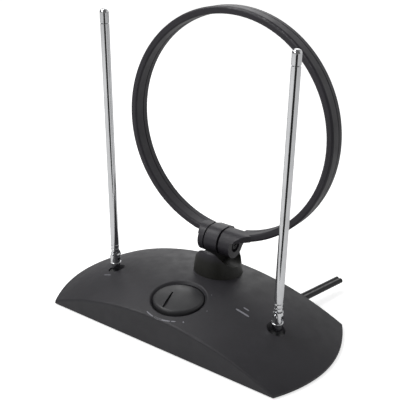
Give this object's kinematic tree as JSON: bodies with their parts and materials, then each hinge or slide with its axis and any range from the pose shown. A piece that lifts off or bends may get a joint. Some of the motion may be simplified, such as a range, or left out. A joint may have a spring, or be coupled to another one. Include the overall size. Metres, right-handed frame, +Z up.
{
  "type": "rabbit ears antenna",
  "caption": "Set-top television antenna: domed base with tuning knob, telescopic rods on swivel forks, a tilting loop and a flat twin cable.",
  "frame": {"origin": "middle of the underside of the rest pad that the antenna stands on", "axes": "+X along the base's length, -Y towards the knob side, +Z up"},
  "size_m": [0.25, 0.1662, 0.2508],
  "materials": {
    "cover_plastic": "satin charcoal moulded shell",
    "loop_plastic": "satin charcoal",
    "pedestal_plastic": "satin near-black",
    "knob_plastic": "satin charcoal",
    "plate_plastic": "fine grain black",
    "socket_plastic": "satin black",
    "pad_foam": "matte black",
    "screw_steel": "zinc plated",
    "ballast_steel": "mill finish",
    "board_laminate": "brown laminate",
    "switch_plastic": "black moulded",
    "plated_brass": "plated",
    "ferrite": "matte grey",
    "copper_wire": "enamelled",
    "capacitor_ceramic": "dipped",
    "lead_insulation": "red sleeve",
    "cable_plastic": "satin black",
    "bolt_black": "black oxide",
    "washer_plastic": "black nylon",
    "loop_aluminium": "plain strip",
    "rod_chrome": "bright plated"
  },
  "bodies": {
    "base": {"top_cover": "cover_plastic", "pedestal": "pedestal_plastic", "bottom_plate": "plate_plastic", "strain_relief": "socket_plastic", "rest_pad": "pad_foam", "bottom_screws": "screw_steel", "ballast_screws": "screw_steel", "board_screws": "screw_steel", "pedestal_screws": "screw_steel", "ballast_plate": "ballast_steel", "circuit_board": "board_laminate", "switch_body": "switch_plastic", "switch_nut": "plated_brass", "balun_core": "ferrite", "balun_winding": "copper_wire", "tuning_coils": "copper_wire", "cable_conductors": "copper_wire", "tuning_capacitors": "capacitor_ceramic", "rod_leads": "lead_insulation", "loop_leads": "lead_insulation", "cable_jacket": "cable_plastic", "hinge_washers": "washer_plastic", "left_socket": "socket_plastic", "left_contact": "plated_brass", "right_socket": "socket_plastic", "right_contact": "plated_brass"},
    "dial": {"tuning_knob": "knob_plastic", "switch_shaft": "plated_brass"},
    "loop": {"loop_front_shell": "loop_plastic", "loop_rear_shell": "loop_plastic", "loop_conductor": "loop_aluminium", "hinge_bolt": "bolt_black", "hinge_nut": "bolt_black"},
    "left_swivel": {"left_swivel_post": "rod_chrome", "left_spring_washer": "screw_steel", "left_retaining_screw": "screw_steel", "left_tilt_pin": "rod_chrome"},
    "left_rod": {"left_knuckle_blade": "rod_chrome", "left_outer_tube": "rod_chrome"},
    "left_stage_2": {"left_section_2": "rod_chrome"},
    "left_stage_3": {"left_section_3": "rod_chrome"},
    "left_stage_4": {"left_section_4": "rod_chrome"},
    "left_stage_5": {"left_section_5": "rod_chrome", "left_tip_cap": "rod_chrome"},
    "right_swivel": {"right_swivel_post": "rod_chrome", "right_spring_washer": "screw_steel", "right_retaining_screw": "screw_steel", "right_tilt_pin": "rod_chrome"},
    "right_rod": {"right_knuckle_blade": "rod_chrome", "right_outer_tube": "rod_chrome"},
    "right_stage_2": {"right_section_2": "rod_chrome"},
    "right_stage_3": {"right_section_3": "rod_chrome"},
    "right_stage_4": {"right_section_4": "rod_chrome"},
    "right_stage_5": {"right_section_5": "rod_chrome", "right_tip_cap": "rod_chrome"}
  },
  "joints": [
    {"name": "dial_turn", "type": "hinge", "parent": "base", "child": "dial", "pos_m": [0.0028, -0.0272, 0.03], "axis": [0, 0, 1], "range_deg": [-150, 150]},
    {"name": "loop_tilt", "type": "hinge", "parent": "base", "child": "loop", "pos_m": [0, 0.031, 0.0596], "axis": [-1, 0, 0], "range_deg": [-12, 55]},
    {"name": "left_rod_swivel", "type": "hinge", "parent": "base", "child": "left_swivel", "pos_m": [-0.0815, -0.0062, 0.02], "axis": [0, 0, 1], "range_deg": [-90, 90]},
    {"name": "left_rod_tilt", "type": "hinge", "parent": "left_swivel", "child": "left_rod", "pos_m": [-0.0815, -0.0062, 0.03492], "axis": [0, -1, 0], "range_deg": [0, 88]},
    {"name": "left_stage_2_slide", "type": "slide", "parent": "left_rod", "child": "left_stage_2", "axis": [0, 0, 1], "range_m": [0, 0.165]},
    {"name": "left_stage_3_slide", "type": "slide", "parent": "left_stage_2", "child": "left_stage_3", "axis": [0, 0, 1], "range_m": [0, 0.165]},
    {"name": "left_stage_4_slide", "type": "slide", "parent": "left_stage_3", "child": "left_stage_4", "axis": [0, 0, 1], "range_m": [0, 0.165]},
    {"name": "left_stage_5_slide", "type": "slide", "parent": "left_stage_4", "child": "left_stage_5", "axis": [0, 0, 1], "range_m": [0, 0.165]},
    {"name": "right_rod_swivel", "type": "hinge", "parent": "base", "child": "right_swivel", "pos_m": [0.0815, -0.0062, 0.02], "axis": [0, 0, 1], "range_deg": [-90, 90]},
    {"name": "right_rod_tilt", "type": "hinge", "parent": "right_swivel", "child": "right_rod", "pos_m": [0.0815, -0.0062, 0.03492], "axis": [0, 1, 0], "range_deg": [-0.9, 87.1]},
    {"name": "right_stage_2_slide", "type": "slide", "parent": "right_rod", "child": "right_stage_2", "axis": [0.0157, 0, 0.9999], "range_m": [0, 0.165]},
    {"name": "right_stage_3_slide", "type": "slide", "parent": "right_stage_2", "child": "right_stage_3", "axis": [0.0157, 0, 0.9999], "range_m": [0, 0.165]},
    {"name": "right_stage_4_slide", "type": "slide", "parent": "right_stage_3", "child": "right_stage_4", "axis": [0.0157, 0, 0.9999], "range_m": [0, 0.165]},
    {"name": "right_stage_5_slide", "type": "slide", "parent": "right_stage_4", "child": "right_stage_5", "axis": [0.0157, 0, 0.9999], "range_m": [0, 0.165]}
  ]
}
